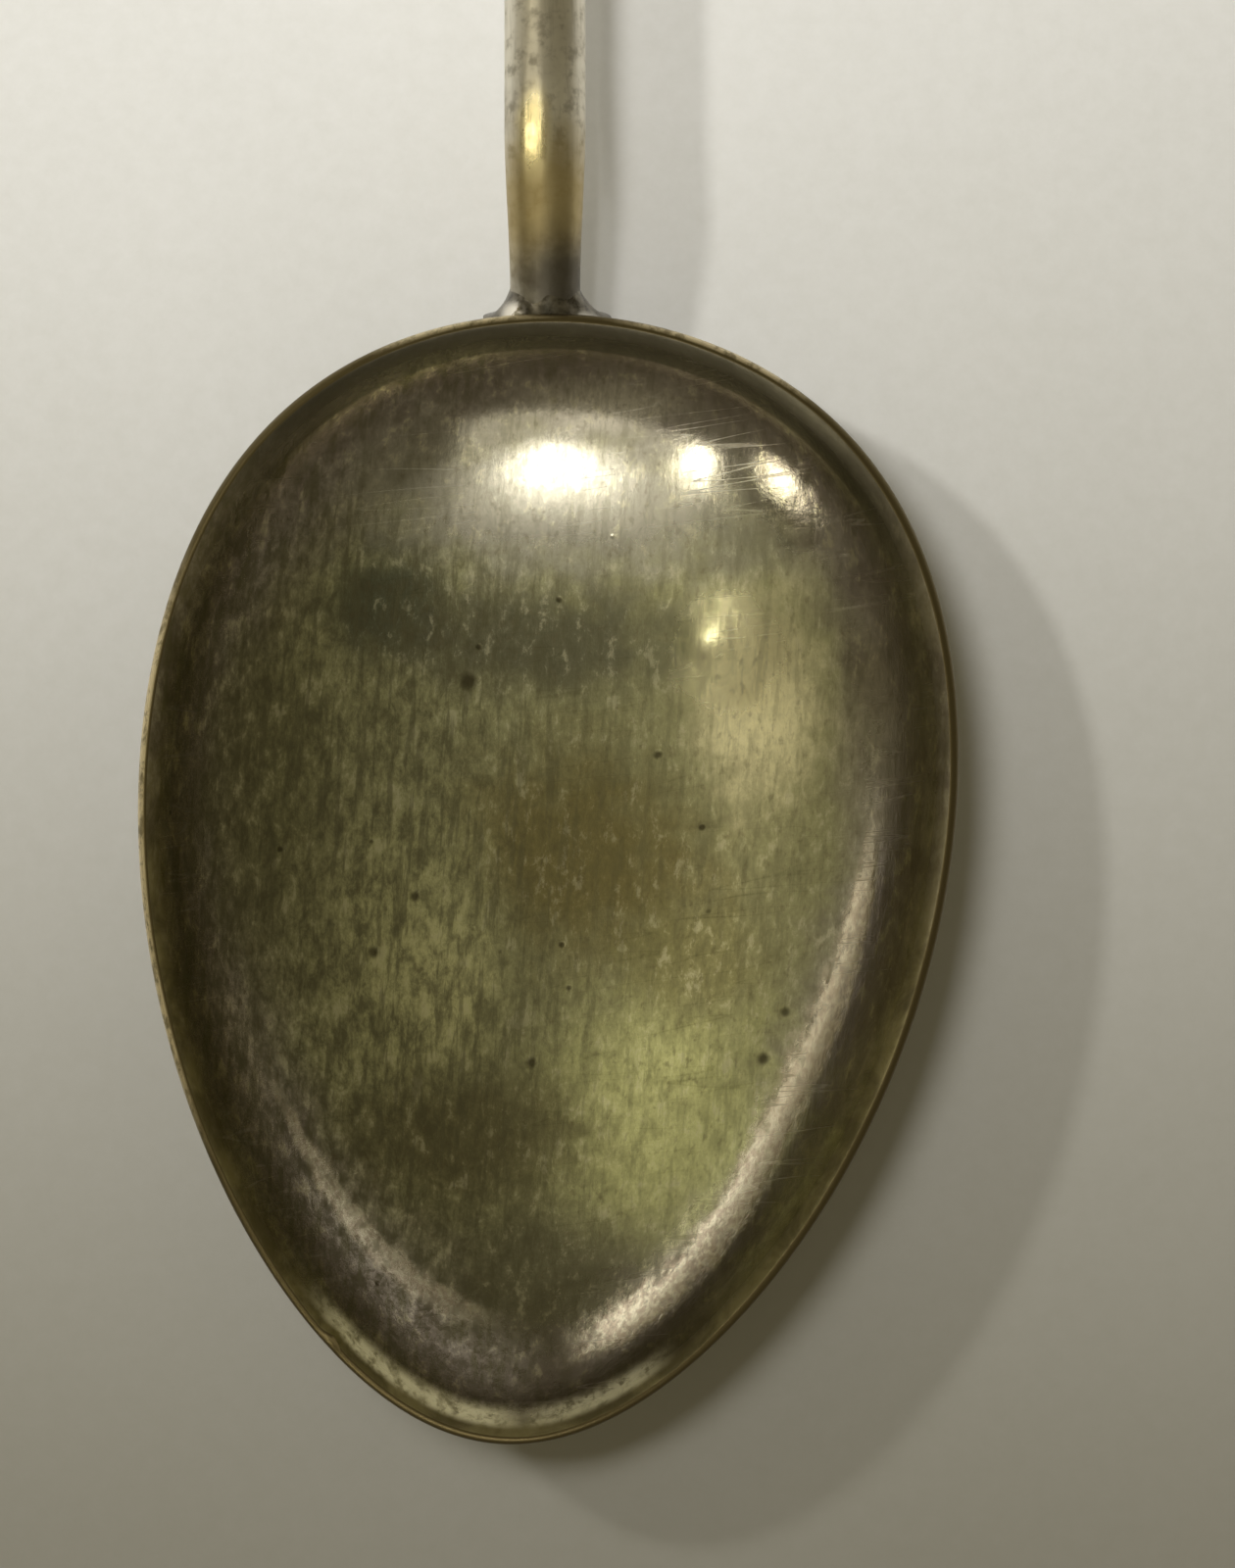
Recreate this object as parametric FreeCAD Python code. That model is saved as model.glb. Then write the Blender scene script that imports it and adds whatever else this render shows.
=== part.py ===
import FreeCAD, Part
import math
import os

# Souvenir spoon, in millimetres. It lies on the plane z = 0 with its hollow up.
# +X is to the right, +Y runs from the bowl along the handle to the medallion, +Z is up.
# It touches the plane on the worn flat under the bowl and on the far edge of the handle's pad.

# Bowl: an egg-shaped shell, its blunt end (the heel) at the handle
bowl_length = 35.9
bowl_width = 26.0
bowl_roll = -4.3          # degrees that the bowl is turned on its handle, seen from above
egg_taper = 0.217         # how much fuller the heel's half is than the tip's half
egg_belly = 0.015
egg_shoulder = 0.017
rim_height = 6.4          # height of the rim over the table, halfway along the bowl
rim_rise = 2.2            # the rim is this much higher at the tip than at the heel
rim_land = 0.62           # width of the rim's edge
rim_round = 0.2           # rounding of both corners of the rim
bowl_wall = 0.72          # wall under the deepest point, before the wear flat is cut
hollow_y = 2.6            # the deepest point lies this far towards the heel
fall_near_middle = 2.3    # exponents of the bowl's depth curve
fall_near_rim = 0.68
wear_depth = 0.1          # thickness worn off under the bowl

# Stem: round at the neck, a twisted square bar in the middle, flattened into a round pad
neck_diameter = 2.25      # just above the foot
stem_diameter = 2.6       # from the crown of the arch on
foot_width = 2.7
foot_thickness = 2.4
foot_length = 3.2         # the foot narrows to the neck over this length
foot_height = 2.9         # height of the stem's axis where it meets the bowl
foot_x = 0.42             # the foot stands off the bowl's middle, and the stem runs back
stem_x = 0.1
lap_length = 4.8          # the foot runs on under the bowl's heel and thins out there
lap_width = 1.4
lap_thickness = 0.5
lap_solder = 2.9          # the length of that lap with solder beside it
neck_rise = 22.0          # degrees at which the stem leaves the bowl
neck_radius = 20.0        # radius of the arch over the neck
handle_length = 76.0      # from the bowl's heel to the medallion's far edge
twist_start = 17.0        # from the heel
twist_length = 27.0
twist_turns = 3.0
bar_side = 2.5            # across the flats of the twisted bar
ring_diameter = 3.9       # the two turned rings that end the twisted bar
ring_thickness = 1.15
shoulder_width = 4.6      # the flattened stem where it enters the pad
shoulder_thickness = 0.9
pad_diameter = 12.0
pad_thickness = 1.0

# Solder
fillet_reach = 1.9        # how far the solder climbs along the stem from the bowl's rim
fillet_spread = 0.9       # how far it spreads to each side of the foot, under the rim
fillet_rise = 0.3         # how far it rises over the foot
sink = 0.15               # how far its ends dive into the stem before they are trimmed
solder_film = 0.15        # under the medallion
film_diameter = 11.4

# Medallion: a plate with a beaded border and sunk cells filled with enamel
medal_diameter = 17.0
medal_thickness = 1.05
border_width = 1.5
border_height = 0.45      # above the plate
bead_count = 34
bead_diameter = 0.95
cell_depth = 0.4
cell_wall = 0.22          # metal left standing between two cells
enamel_dip = 0.05         # the enamel's surface lies this far below the metal walls

# Landscape in the medallion, measured from its centre
shore_y = -2.2
ridge_foot_y = -1.2
peak = (-1.5, 3.9)
second_peak = (2.9, 1.7)
saddle = (1.0, 0.2)
snow_line_y = 1.9
sun_centre = (3.0, 3.9)
sun_radius = 1.15
hill_centre = (3.4, -6.6)
hill_radius = 5.3

V = FreeCAD.Vector
UP = V(0, 0, 1)


def turned(x, y, degrees):
    """A point in the plane, turned about the bowl's middle."""
    angle = math.radians(degrees)
    return (x * math.cos(angle) - y * math.sin(angle), x * math.sin(angle) + y * math.cos(angle))


def eased(value):
    """Goes from 0 to 1 with no corner at either end."""
    held = min(max(value, 0.0), 1.0)
    return held * held * (3 - 2 * held)


def closed_wire(points):
    """A smooth closed wire through the points, with the same parameters on every wire of a loft."""
    curve = Part.BSplineCurve()
    curve.interpolate(Points=points, PeriodicFlag=True, Parameters=[float(k) for k in range(len(points) + 1)])
    return Part.Wire(curve.toShape())


# ---------------------------------------------------------------- bowl

def egg_half_width(t):
    """Half the egg's width as a share of half the nominal width; t = 0 at the heel, pi at the tip."""
    return math.sin(t) * (1 + egg_taper * math.cos(t) + egg_belly * math.cos(2 * t)
                          + egg_shoulder * math.cos(3 * t))


EGG_WIDEST = max(egg_half_width(math.pi * step / 360) for step in range(361))


def bowl_point(t, fall, inset, floor, lift=0.0):
    """A point of the bowl's surface.

    inset shrinks the outline all round, floor is the height of the deepest point, and fall
    runs from 0 at the rim to 90 degrees at the deepest point.
    """
    x = (bowl_width / 2 - inset) * egg_half_width(t) / EGG_WIDEST
    y = (bowl_length / 2 - inset) * math.cos(t)
    rim_z = rim_height - rim_rise * y / bowl_length
    angle = math.radians(fall)
    shrink = math.cos(angle) ** (2 / fall_near_middle)
    depth = math.sin(angle) ** (2 * fall_near_rim)
    x = x * shrink
    y = hollow_y + (y - hollow_y) * shrink
    x, y = turned(x, y, bowl_roll)
    return V(x, y, floor + (rim_z - floor) * (1 - depth) + lift)


def bowl_ring(fall, inset, floor, lift=0.0):
    """One closed smooth wire round the bowl."""
    count = 36
    points = [bowl_point(2 * math.pi * step / count, fall, inset, floor, lift) for step in range(count)]
    return closed_wire(points)


def bowl_falls():
    steps = 11
    return [84.0 * step / steps for step in range(steps + 1)]


def bowl_blank():
    """The bowl's outside as a filled solid, with the flat that wear has left under it."""
    rings = [bowl_ring(fall, 0.0, -wear_depth) for fall in bowl_falls()]
    blank = Part.makeLoft(rings, True)
    below = Part.makeBox(2 * bowl_width, 2 * bowl_length, rim_height,
                         V(-bowl_width, -bowl_length, -rim_height))
    return blank.cut(below)


def bowl_hollow():
    """What is taken out of the blank, carried on over the rim."""
    clear = 1.5
    rings = [bowl_ring(0.0, rim_land, bowl_wall - wear_depth, clear)]
    rings += [bowl_ring(fall, rim_land, bowl_wall - wear_depth) for fall in bowl_falls()]
    return Part.makeLoft(rings[1:], True).fuse(Part.makeLoft(rings[:2], True)).removeSplitter()


def rim_edges(shape):
    """The outer and the inner edge of the rim."""
    lowest_rim = rim_height - rim_rise / 2 - rim_round
    return [edge for edge in shape.Edges
            if edge.BoundBox.ZMin > lowest_rim and edge.BoundBox.XLength > bowl_width / 2]


def make_bowl():
    shell = bowl_blank().cut(bowl_hollow())
    return shell.makeFillet(min(rim_round, 0.45 * rim_land), rim_edges(shell))


# ---------------------------------------------------------------- stem

def heel_y():
    """Where the bowl's rim ends, above the foot."""
    return max(bowl_point(2 * math.pi * step / 720, 0.0, 0.0, 0.0).y for step in range(720))


def foot_y():
    """Where the stem's axis meets the bowl's outside, found by halving."""
    low, high = 0.0, 90.0
    for _ in range(40):
        fall = (low + high) / 2
        if bowl_point(0.0, fall, 0.0, -wear_depth).z > foot_height:
            low = fall
        else:
            high = fall
    return bowl_point(0.0, low, 0.0, -wear_depth).y


HEEL_Y = heel_y()
FOOT_Y = foot_y()
RISE = math.radians(neck_rise)
CROWN_Y = FOOT_Y + neck_radius * math.sin(RISE)
CROWN_Z = foot_height + neck_radius * (1 - math.cos(RISE))


def arch(tilt):
    """Length and drop of the long arc after the crown that ends at this tilt, then runs straight
    to the pad's far edge."""
    pad_y = HEEL_Y + handle_length - medal_diameter / 2 * math.cos(tilt)
    straight = pad_diameter + shoulder_width
    run = pad_y + (pad_diameter / 2 - straight) * math.cos(tilt) - CROWN_Y
    radius = run / math.sin(tilt)
    drop = radius * (1 - math.cos(tilt)) + straight * math.sin(tilt)
    return radius, straight, drop


def end_tilt():
    """The tilt at which the pad's far lower edge just touches the table, found by halving."""
    low, high = 0.001, 0.5
    for _ in range(50):
        tilt = (low + high) / 2
        drop = arch(tilt)[2]
        if CROWN_Z - drop - pad_thickness / 2 * math.cos(tilt) > 0:
            low = tilt
        else:
            high = tilt
    return low


TILT = end_tilt()
ARCH_RADIUS, STRAIGHT, _ = arch(TILT)
NECK_LENGTH = neck_radius * RISE
ARCH_LENGTH = ARCH_RADIUS * TILT
STEM_LENGTH = NECK_LENGTH + ARCH_LENGTH + STRAIGHT


def stem_axis(s):
    """Place and slope of the stem's axis, s millimetres along it from the bowl's wall."""
    if s < 0:
        return (FOOT_Y + s * math.cos(RISE), foot_height + s * math.sin(RISE), RISE)
    if s < NECK_LENGTH:
        slope = RISE - s / neck_radius
        y = CROWN_Y - neck_radius * math.sin(slope)
        return (y, CROWN_Z - neck_radius * (1 - math.cos(slope)), slope)
    slope = min((s - NECK_LENGTH) / ARCH_RADIUS, TILT)
    y = CROWN_Y + ARCH_RADIUS * math.sin(slope)
    z = CROWN_Z - ARCH_RADIUS * (1 - math.cos(slope))
    beyond = max(0.0, s - NECK_LENGTH - ARCH_LENGTH)
    return (y + beyond * math.cos(TILT), z - beyond * math.sin(TILT), -slope)


def along_stem(distance_from_heel):
    """Length along the stem's axis at a distance from the bowl's heel."""
    low, high = 0.0, STEM_LENGTH
    for _ in range(40):
        s = (low + high) / 2
        if stem_axis(s)[0] < HEEL_Y + distance_from_heel:
            low = s
        else:
            high = s
    return low


TWIST_FROM = along_stem(twist_start)
TWIST_TO = along_stem(twist_start + twist_length)
PAD_CENTRE = STEM_LENGTH - pad_diameter / 2
MEDAL_EDGE = PAD_CENTRE - medal_diameter / 2


def stem_x_at(s):
    return foot_x + (stem_x - foot_x) * eased(s / foot_length)


def stem_size(s):
    """Width and thickness of the stem's round or oval section."""
    crown = eased((s - foot_length) / (NECK_LENGTH - foot_length + 1))
    round_size = neck_diameter + (stem_diameter - neck_diameter) * crown
    foot = 1 - eased(s / foot_length)
    width = round_size + (foot_width - neck_diameter) * foot
    thickness = round_size + (foot_thickness - neck_diameter) * foot
    lap = 1 - eased((s + lap_length) / lap_length)
    width += (lap_width - width) * lap
    thickness += (lap_thickness - thickness) * lap
    flat = eased((s - TWIST_TO - ring_thickness) / (MEDAL_EDGE - TWIST_TO - ring_thickness))
    width += (shoulder_width - width) * flat
    thickness += (shoulder_thickness - thickness) * flat
    return width, thickness


def stem_point(s, across, over):
    """A point beside the stem's axis: across to the right, over towards the top."""
    y, z, slope = stem_axis(s)
    return V(stem_x_at(s) + across, y - over * math.sin(slope), z + over * math.cos(slope))


def stem_wire(s, more_width=0.0, more_thickness=0.0):
    """The closed outline of the stem's section at s, made larger for the solder round it."""
    width, thickness = stem_size(s)
    count = 12
    points = []
    for step in range(count):
        angle = 2 * math.pi * step / count
        across = (width / 2 + more_width) * math.cos(angle)
        over = (thickness / 2 + more_thickness) * math.sin(angle)
        points.append(stem_point(s, across, over))
    return closed_wire(points)


def winding_face(first, second):
    """The ruled face between two corners of the twisted bar."""
    knots = first.getKnots()
    many = first.getMultiplicities()
    face = Part.BSplineSurface()
    face.buildFromPolesMultsKnots([first.getPoles(), second.getPoles()], [2, 2], many, [0.0, 1.0], knots,
                                  False, False, 1, first.Degree)
    return face.toShape()


def twisted_bar():
    """The square bar between the rings: four winding corners with a winding face between each two."""
    steps = int(12 * twist_turns) + 1
    reach = bar_side / math.sqrt(2)
    corners = []
    for corner in range(4):
        points = []
        for step in range(steps + 1):
            share = step / steps
            angle = math.pi * (2 * twist_turns * share + corner / 2 + 0.25)
            s = TWIST_FROM + (TWIST_TO - TWIST_FROM) * share
            points.append(stem_point(s, reach * math.cos(angle), reach * math.sin(angle)))
        curve = Part.BSplineCurve()
        curve.interpolate(Points=points, Parameters=[float(k) for k in range(steps + 1)])
        corners.append(curve)
    faces = [winding_face(corners[k], corners[(k + 1) % 4]) for k in range(4)]
    for ends in ([curve.StartPoint for curve in corners], [curve.EndPoint for curve in corners]):
        faces.append(Part.Face(Part.makePolygon(ends + ends[:1])))
    shell = Part.makeShell(faces)
    shell.sewShape()
    bar = Part.Solid(shell)
    return bar if bar.Volume > 0 else bar.reversed()


def evenly(start, end, steps):
    """Places after start, up to end."""
    return [start + (end - start) * step / steps for step in range(1, steps + 1)]


def neck_bar():
    """The round stem from its lap under the bowl to the twisted bar."""
    places = [-lap_length] + evenly(-lap_length, 0.0, 4) + evenly(0.0, foot_length, 4)
    places += evenly(foot_length, TWIST_FROM, 5)
    return Part.makeLoft([stem_wire(s) for s in places], True)


def upper_bar():
    """The stem from the twisted bar on, flattened by the time it enters the pad."""
    places = [TWIST_TO] + evenly(TWIST_TO, PAD_CENTRE, 7)
    return Part.makeLoft([stem_wire(s) for s in places], True)


def place_on_stem(shape, s, lift=0.0):
    """Moves a shape made round the origin onto the stem's axis, its +Y along the stem."""
    y, z, slope = stem_axis(s)
    turn = FreeCAD.Rotation(V(1, 0, 0), math.degrees(slope))
    base = V(stem_x_at(s), y, z) + turn.multVec(V(0, 0, lift))
    shape.Placement = FreeCAD.Placement(base, turn)
    return shape.copy()


def stem_ring(s):
    """A turned ring round the stem: a disc with a half-round edge."""
    tube = ring_thickness / 2
    ring = Part.makeTorus(ring_diameter / 2 - tube, tube, V(0, 0, 0), V(0, 1, 0))
    core = Part.makeCylinder(ring_diameter / 2 - tube, ring_thickness, V(0, -tube, 0), V(0, 1, 0))
    return place_on_stem(ring.fuse(core), s)


def stem_pad():
    pad = Part.makeCylinder(pad_diameter / 2, pad_thickness, V(0, 0, -pad_thickness / 2), UP)
    edges = [edge for edge in pad.Edges if edge.BoundBox.XLength > pad_diameter / 2
             and edge.BoundBox.ZLength < pad_thickness / 2]
    return place_on_stem(pad.makeChamfer(pad_thickness / 6, edges), PAD_CENTRE)


def make_stem(blank):
    rings = [stem_ring(TWIST_FROM), stem_ring(TWIST_TO)]
    bar = neck_bar().fuse([twisted_bar(), upper_bar(), stem_pad()] + rings)
    return bar.cut(blank).removeSplitter()


def solder_wire(s, share):
    """The solder's outline: inside the stem where share is 0, spread out where it is 1."""
    return stem_wire(s, (fillet_spread + sink) * share - sink, (fillet_rise + sink) * share - sink)


def make_heel_solder(blank, stem):
    """The saddle of solder round the stem's foot, hollow where it climbs the stem."""
    rim_s = along_stem(0.0)
    start = -lap_solder
    wires = []
    for s in [start] + evenly(start, rim_s, 6):
        wires.append(solder_wire(s, eased((s - start) / (rim_s - start))))
    for s in evenly(rim_s, rim_s + fillet_reach, 6):
        left = 1 - (s - rim_s) / fillet_reach
        wires.append(solder_wire(s, 1 - math.sqrt(1 - left * left)))
    return Part.makeLoft(wires, True).cut(blank).cut(stem)


# ---------------------------------------------------------------- medallion

def field_radius():
    """Radius of the enamelled field inside the border."""
    return medal_diameter / 2 - border_width


def medal_blank():
    """The plate with its raised, beaded border, its back on z = 0."""
    outer = medal_diameter / 2
    plate = Part.makeCylinder(outer, medal_thickness)
    border = Part.makeCylinder(outer - bead_diameter / 4, medal_thickness + border_height / 2)
    border = border.cut(Part.makeCylinder(field_radius(), medal_thickness * 2))
    beads = []
    bead_circle = outer - border_width / 2
    for index in range(bead_count):
        angle = 2 * math.pi * index / bead_count
        centre = V(bead_circle * math.cos(angle), bead_circle * math.sin(angle),
                   medal_thickness + border_height - bead_diameter / 2)
        beads.append(Part.makeSphere(bead_diameter / 2, centre))
    return plate.fuse([border] + beads)


def flat_face(points):
    corners = [V(x, y, 0) for x, y in points]
    return Part.Face(Part.makePolygon(corners + corners[:1]))


def round_face(centre, radius):
    return Part.Face(Part.Wire(Part.makeCircle(radius, V(centre[0], centre[1], 0))))


def line_walls(points):
    """Flat strips along a line of points, round at its corners: the metal walls between cells."""
    walls = [round_face(point, cell_wall / 2) for point in points]
    for start, end in zip(points, points[1:]):
        length = math.hypot(end[0] - start[0], end[1] - start[1])
        off_x = -(end[1] - start[1]) / length * cell_wall / 2
        off_y = (end[0] - start[0]) / length * cell_wall / 2
        walls.append(flat_face([(start[0] + off_x, start[1] + off_y), (end[0] + off_x, end[1] + off_y),
                                (end[0] - off_x, end[1] - off_y), (start[0] - off_x, start[1] - off_y)]))
    return walls


def ring_wall(centre, radius):
    return round_face(centre, radius + cell_wall / 2).cut(round_face(centre, radius - cell_wall / 2))


def landscape():
    """The field's regions as flat faces, each with the metal walls round it left out."""
    field = round_face((0, 0), field_radius() - cell_wall / 2)
    far = medal_diameter
    ridge = [(peak[0] - 5.6, ridge_foot_y), peak, saddle, second_peak, (second_peak[0] + 3.4, ridge_foot_y)]
    land_line = [(-far, ridge_foot_y)] + ridge + [(far, ridge_foot_y)]
    snow_line = [(-far, snow_line_y), (peak[0] - 1.5, snow_line_y), (peak[0] - 0.8, snow_line_y + 0.5),
                 (peak[0] - 0.1, snow_line_y - 0.5), (peak[0] + 0.6, snow_line_y + 0.4), (far, snow_line_y)]
    land = flat_face(land_line + [(far, shore_y), (-far, shore_y)])
    cap = flat_face(snow_line + [(far, far), (-far, far)])
    sun = round_face(sun_centre, sun_radius)
    hill = round_face(hill_centre, hill_radius)
    water = flat_face([(-far, shore_y), (far, shore_y), (far, -far), (-far, -far)])
    ridge_walls = line_walls(land_line)
    hill_wall = [ring_wall(hill_centre, hill_radius)]
    shore_walls = line_walls([(-far, shore_y), (far, shore_y)])
    sky = field.cut([land, sun, hill, water] + ridge_walls + hill_wall + [ring_wall(sun_centre, sun_radius)])
    slope = field.common(land).cut([hill] + ridge_walls + hill_wall + shore_walls)
    return {
        "sky": sky,
        "sun": sun.cut(ring_wall(sun_centre, sun_radius)),
        "mountain": slope.cut([cap] + line_walls(snow_line)),
        "snow": slope.common(cap).cut(line_walls(snow_line)),
        "hill": hill.common(field).cut(hill_wall),
        "lake": field.common(water).cut([hill] + hill_wall + shore_walls),
    }


def cells(region):
    """A region's faces, without slivers too small to hold enamel."""
    return [face for face in region.Faces if face.Area > cell_wall]


def on_pad(shape):
    """Moves a piece made on the medallion's back onto the solder over the handle's pad."""
    return place_on_stem(shape, PAD_CENTRE, pad_thickness / 2 + solder_film)


def make_medallion(faces):
    medal = medal_blank()
    floor = medal_thickness - cell_depth
    for face in faces.values():
        for part in cells(face):
            raised = part.translated(V(0, 0, floor))
            medal = medal.cut(raised.extrude(V(0, 0, cell_depth + border_height)))
    return on_pad(medal.removeSplitter())


def make_enamel(face):
    height = cell_depth - enamel_dip
    solids = []
    for part in cells(face):
        solids.append(part.translated(V(0, 0, medal_thickness - cell_depth)).extrude(V(0, 0, height)))
    return on_pad(Part.makeCompound(solids))


def make_medallion_solder():
    film = Part.makeCylinder(film_diameter / 2, solder_film, V(0, 0, -solder_film))
    return on_pad(film)


# ---------------------------------------------------------------- whole spoon

def main():
    blank = bowl_blank()
    pieces = {"bowl": make_bowl(), "stem": make_stem(blank)}
    pieces["heel_solder"] = make_heel_solder(blank, pieces["stem"])
    faces = landscape()
    pieces["medallion"] = make_medallion(faces)
    pieces["medallion_solder"] = make_medallion_solder()
    for name, face in faces.items():
        pieces["enamel_" + name] = make_enamel(face)
    whole = Part.makeCompound(list(pieces.values())).optimalBoundingBox(True, False)
    shift = V(-(whole.XMin + whole.XMax) / 2, -(whole.YMin + whole.YMax) / 2, -whole.ZMin)
    os.makedirs("parts", exist_ok=True)
    for name, shape in pieces.items():
        shape.translated(shift).exportStep("parts/" + name + ".step")
        print(name, len(shape.Solids), "solids", round(shape.Volume, 2), "mm3", shape.isValid())
    print("shift", shift, "whole", whole)


main()
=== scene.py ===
import math

import bpy
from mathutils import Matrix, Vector, noise


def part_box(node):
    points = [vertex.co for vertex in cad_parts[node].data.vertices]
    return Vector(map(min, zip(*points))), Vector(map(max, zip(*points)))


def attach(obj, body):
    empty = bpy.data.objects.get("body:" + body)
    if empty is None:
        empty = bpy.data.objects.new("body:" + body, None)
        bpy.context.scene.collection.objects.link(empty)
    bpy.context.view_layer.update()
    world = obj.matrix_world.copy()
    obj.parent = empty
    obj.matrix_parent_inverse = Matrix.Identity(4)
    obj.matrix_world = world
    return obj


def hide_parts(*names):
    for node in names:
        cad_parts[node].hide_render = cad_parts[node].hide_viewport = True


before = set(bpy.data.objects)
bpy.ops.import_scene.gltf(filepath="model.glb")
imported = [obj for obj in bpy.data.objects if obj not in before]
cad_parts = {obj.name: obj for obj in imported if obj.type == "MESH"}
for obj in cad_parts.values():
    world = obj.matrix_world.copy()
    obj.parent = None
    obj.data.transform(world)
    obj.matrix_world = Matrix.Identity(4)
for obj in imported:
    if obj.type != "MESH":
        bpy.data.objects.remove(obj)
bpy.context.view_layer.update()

# The looks of a souvenir spoon that lies on a pale sheet. Lengths below are in millimetres and
# MM turns them into Blender's metres. The spoon's shape follows the CAD model's own dimensions.
MM = 0.001

# Bowl
BOWL_LENGTH = 35.9
BOWL_WIDTH = 26.0
BOWL_ROLL = math.radians(-4.3)
EGG_TAPER = 0.217
EGG_BELLY = 0.015
EGG_SHOULDER = 0.017
RIM_HEIGHT = 6.4
RIM_RISE = 2.2
RIM_LAND = 0.62
RIM_ROUND = 0.26
SOFT_DROP = 1.15
WEAR_DEPTH = 0.1
BOWL_WALL = 0.72
HOLLOW_Y = 2.6
FALL_NEAR_MIDDLE = 2.3
FALL_NEAR_RIM = 0.68

# Stem
NECK_DIAMETER = 2.25
STEM_DIAMETER = 2.6
FOOT_WIDTH = 2.7
FOOT_THICKNESS = 2.4
FOOT_LENGTH = 3.2
FOOT_HEIGHT = 2.9
FOOT_X = 0.42
STEM_X = 0.1
NECK_SWELL = 5.6
LAP_LENGTH = 4.8
LAP_WIDTH = 1.4
LAP_THICKNESS = 0.5
LAP_SOLDER = 2.9
NECK_RISE = math.radians(22.0)
NECK_RADIUS = 20.0
HANDLE_LENGTH = 76.0
TWIST_START = 17.0
TWIST_LENGTH = 27.0
TWIST_TURNS = 3.0
BAR_SIDE = 2.5
RING_DIAMETER = 3.9
RING_THICKNESS = 1.15
SHOULDER_WIDTH = 4.6
SHOULDER_THICKNESS = 0.9
PAD_DIAMETER = 12.0
PAD_THICKNESS = 1.0
MEDAL_DIAMETER = 17.0

# Solder round the foot; each lump is x, y about the bowl's middle, radius and height
FILLET_REACH = 1.9
FILLET_SPREAD = 0.9
FILLET_RISE = 0.3
SINK_INTO_STEM = 0.15
SOLDER_LUMPS = ((-0.9, 17.9, 0.42, 0.5), (1.45, 17.75, 0.36, 0.26), (0.4, 18.6, 0.6, 0.06))
SOLDER_ROUGHNESS = 0.05

# Slight wear and unevenness; each dent is x, y about the bowl's middle, radius and depth
SLOW_WAVE = 0.035
QUICK_WAVE = 0.007
DENTS = ((5.4, 7.7, 0.8, 0.035), (6.2, 5.2, 1.3, -0.02), (3.6, 13.0, 0.9, 0.012))
RIM_WEAR = 0.03
NICK_ANGLE = math.radians(211.5)
NICK_WIDTH = 0.022
NICK_DEPTH = 0.16
SWELL_HEIGHT = 0.13
SWELL_LENGTH = 1.7
FLAT_DEPTH = 0.075
FLAT_LENGTH = 1.9
FLAT_LEAN = 0.31
FLAT_SHARE = 0.8
FLAT_WINDOW = 6.0

# Edges that turn by more degrees than this stay sharp
CREASE = 35.0
RIM_CREASE = 60.0

# Tarnish in the bowl's hollow, and one painted glow, about the bowl's middle. Patches: x, y, half width,
# half length, turn in degrees, amount and tint. Pits: x, y and size.
GRAIN_TURN = math.radians(4)
BOWL_PATCHES = (
    (0.6, 12.3, 11.0, 4.0, 0, 0.95, (0.46, 0.44, 0.38)),
    (0.9, 16.6, 6.5, 2.2, 0, 0.35, (0.34, 0.30, 0.27)),
    (2.1, 15.2, 3.4, 1.3, 0, 0.85, (0.70, 0.66, 0.58)),
    (-9.2, 3.0, 3.4, 9.5, 0, 0.75, (0.25, 0.24, 0.13)),
    (-9.6, -5.8, 1.0, 4.2, -16, 0.75, (0.66, 0.60, 0.50)),
    (-5.0, 8.8, 2.9, 2.6, 0, 0.9, (0.11, 0.12, 0.08)),
    (-0.2, 7.6, 7.4, 2.4, 0, 0.85, (0.15, 0.145, 0.10)),
    (1.2, 0.6, 6.2, 4.8, 20, 0.9, (0.26, 0.22, 0.09)),
    (-4.0, -3.2, 3.7, 7.5, 0, 0.9, (0.64, 0.63, 0.34)),
    (4.0, -7.8, 6.2, 5.8, -20, 0.95, (0.68, 0.69, 0.34)),
    (4.9, -2.7, 3.4, 2.8, 0, 0.8, (0.34, 0.32, 0.15)),
    (-2.6, -8.4, 6.2, 3.2, 0, 0.85, (0.21, 0.19, 0.10)),
    (0.0, -13.0, 5.4, 3.4, 0, 0.85, (0.22, 0.21, 0.13)),
    # a painted glow: a near white patch on the floor's upper right, over paler plate
    (7.0, 5.6, 3.0, 5.0, 0, 0.9, (0.94, 0.88, 0.57)),
    (6.4, 10.6, 2.6, 1.5, 0, 0.6, (0.30, 0.29, 0.22)),
    (10.7, 4.6, 1.7, 6.0, 4, 0.6, (0.46, 0.42, 0.31)),
    (-3.1, -3.2, 2.2, 3.2, 0, 0.6, (0.82, 0.80, 0.44)))
BOWL_PITS = ((-4.15, -0.7, 0.24), (-5.5, -2.5, 0.28), (-0.35, -6.1, 0.26), (7.1, -5.9, 0.28),
             (7.8, -4.4, 0.22), (3.75, 3.9, 0.2), (-2.4, 6.3, 0.42))
NO_LIMIT = 1e6  # a stretch so long that its axis no longer counts

# Stage: the sheet just under the spoon, the lights, and the camera about the bowl's middle
SHEET_HALF = 900.0
SHEET_TOP = -0.03
SOFT_BOX_DISTANCE = 400.0
POOL_DISTANCE = 420.0
POOL_AIM = (-26.0, 62.0, 0.0)
CAMERA_DISTANCE = 214.0
VIEW_HEIGHT = 49.7
VIEW_X = 2.42
VIEW_Y = 2.94


def eased(value):
    """Goes from 0 to 1 with no corner at either end."""
    held = min(max(value, 0.0), 1.0)
    return held * held * (3 - 2 * held)


# ---------------------------------------------------------------- meshes

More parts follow.
